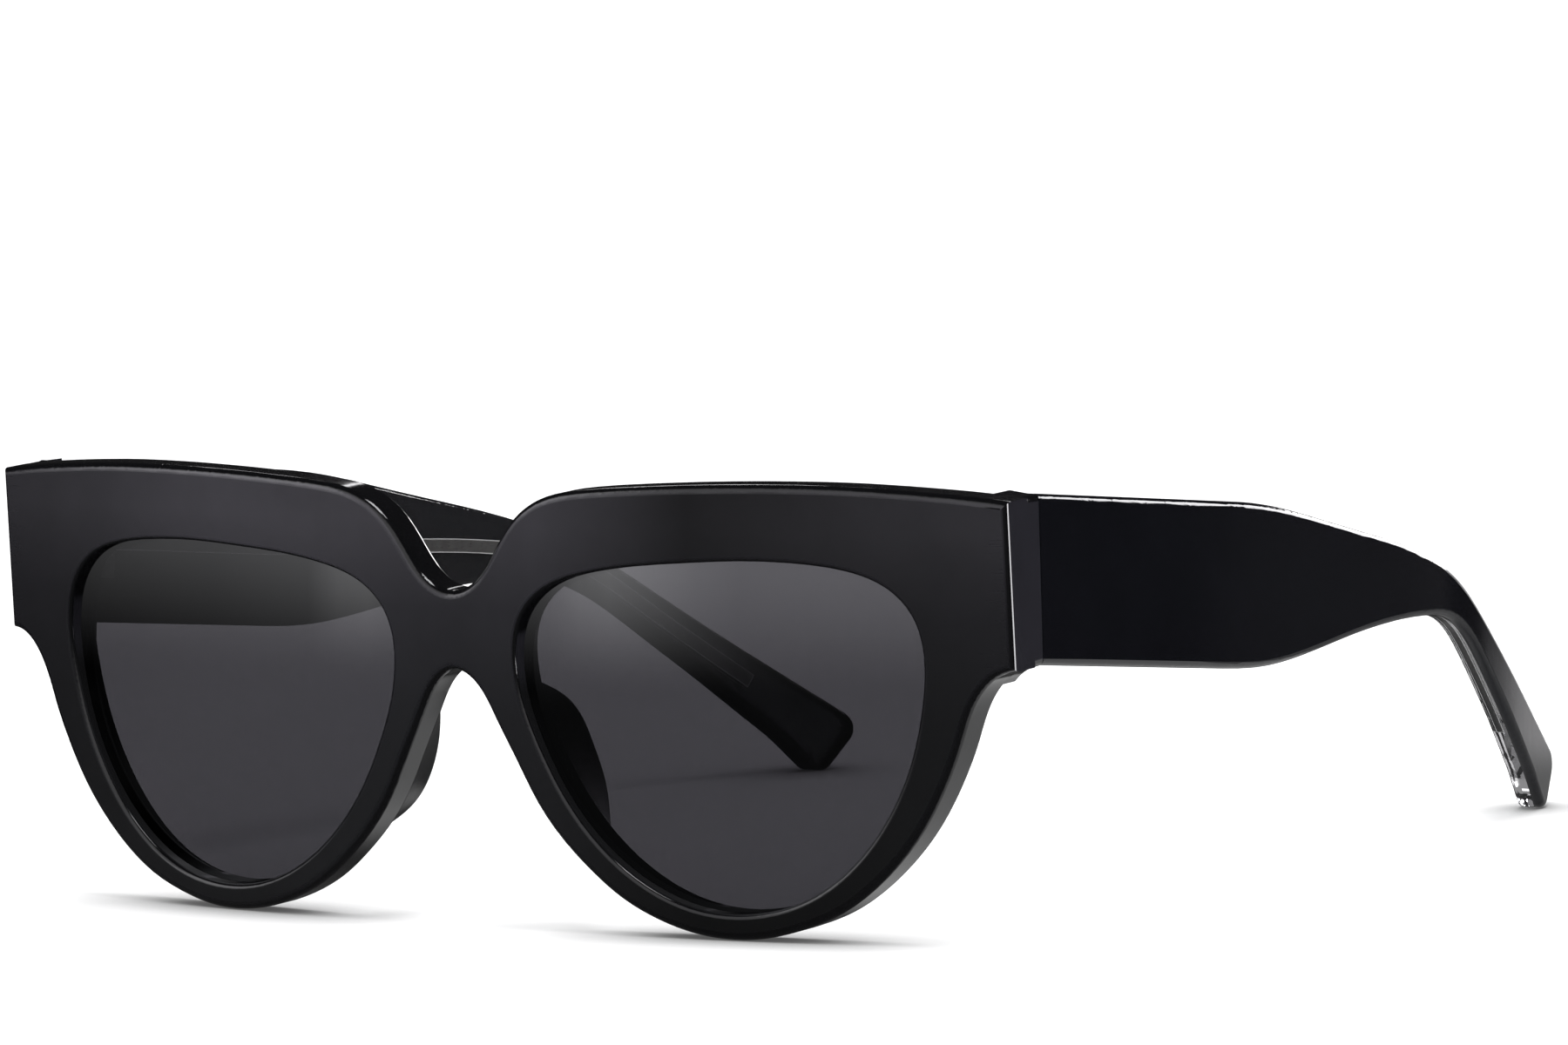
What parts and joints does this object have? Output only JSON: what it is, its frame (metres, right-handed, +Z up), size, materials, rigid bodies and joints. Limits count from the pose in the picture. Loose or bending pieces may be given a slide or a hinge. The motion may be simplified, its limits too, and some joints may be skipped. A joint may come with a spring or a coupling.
{
  "type": "sunglasses",
  "caption": "Cat eye sunglasses: flat-top wrapped front with a notched bridge, tinted lenses and wide laminated temples that fold on barrel hinges.",
  "frame": {"origin": "centre of the footprint on the surface the pair stands on, with the temples open", "axes": "+X towards the wearer's left, +Y from the front towards the temple tips, +Z up"},
  "size_m": [0.145, 0.1509, 0.0523],
  "materials": {
    "acetate_black": "polished black cellulose acetate, satin on the front's face",
    "acetate_clear": "polished clear cellulose acetate laminate",
    "lens_grey": "smoke grey tinted nylon lens, gloss",
    "steel": "nickel silver, satin"
  },
  "bodies": {
    "front": {"front_frame": "acetate_black", "lens_left": "lens_grey", "lens_right": "lens_grey", "nose_pad_left": "acetate_black", "nose_pad_right": "acetate_black", "hinge_front_left": "steel", "hinge_front_right": "steel", "hinge_screw_left": "steel", "hinge_screw_right": "steel"},
    "left_temple": {"temple_left_outer": "acetate_black", "temple_left_inner": "acetate_clear", "core_wire_left": "steel", "hinge_temple_left": "steel"},
    "right_temple": {"temple_right_outer": "acetate_black", "temple_right_inner": "acetate_clear", "core_wire_right": "steel", "hinge_temple_right": "steel"}
  },
  "joints": [
    {"name": "left_temple_fold", "type": "hinge", "parent": "front", "child": "left_temple", "pos_m": [0.06655, -0.06044, 0.04121], "axis": [0, 0.1122, 0.9937], "range_deg": [0, 84.3]},
    {"name": "right_temple_fold", "type": "hinge", "parent": "front", "child": "right_temple", "pos_m": [-0.06655, -0.06044, 0.04121], "axis": [0, -0.1122, -0.9937], "range_deg": [0, 75]}
  ]
}
